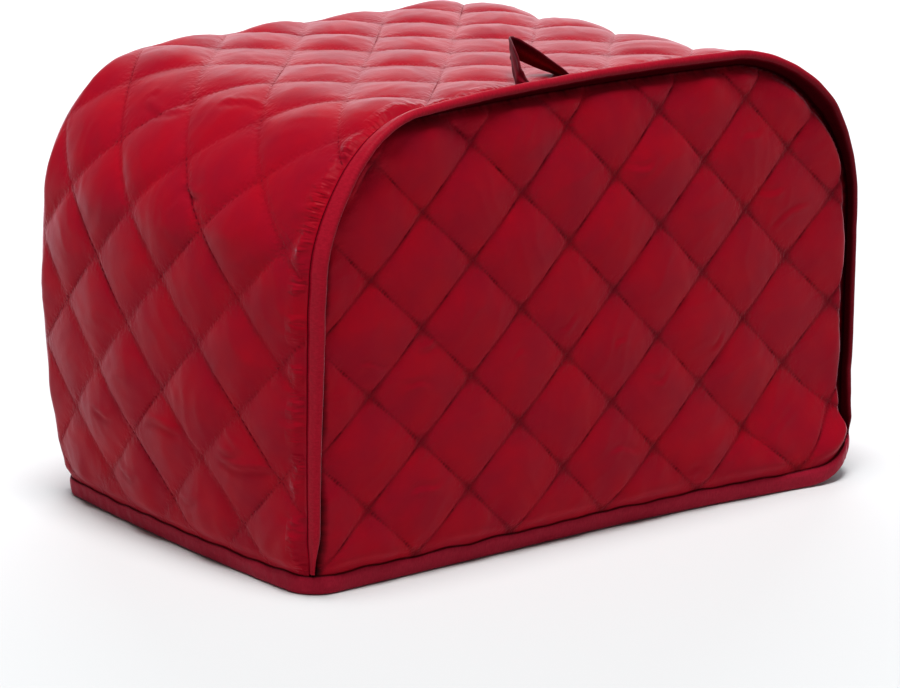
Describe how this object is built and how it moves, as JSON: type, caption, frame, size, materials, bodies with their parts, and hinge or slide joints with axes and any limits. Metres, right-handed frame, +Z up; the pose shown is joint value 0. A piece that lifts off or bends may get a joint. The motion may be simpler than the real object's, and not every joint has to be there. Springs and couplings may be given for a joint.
{
  "type": "quilted toaster cover",
  "caption": "Arched quilted cloth cover that stands on its bound hem over a two-slice toaster, with a bound front seam and a small tape loop on top.",
  "frame": {"origin": "middle of the underside: centred on the cover's overall width and depth, on the surface that the hem rests on", "axes": "+X to the right of someone facing the front panel, -Y out of the front panel, +Z up"},
  "size_m": [0.3042, 0.1984, 0.2004],
  "materials": {
    "quilted_cloth": "red polyester satin, padded and diamond quilted, soft sheen",
    "binding_tape": "red folded polyester tape, semi-matt",
    "loop_tape": "dark red folded polyester tape, semi-matt"
  },
  "bodies": {
    "root": {"front_panel": "quilted_cloth", "back_panel": "quilted_cloth", "gusset": "quilted_cloth", "front_binding": "binding_tape", "hem_binding": "binding_tape", "loop_tab": "loop_tape"}
  },
  "joints": []
}
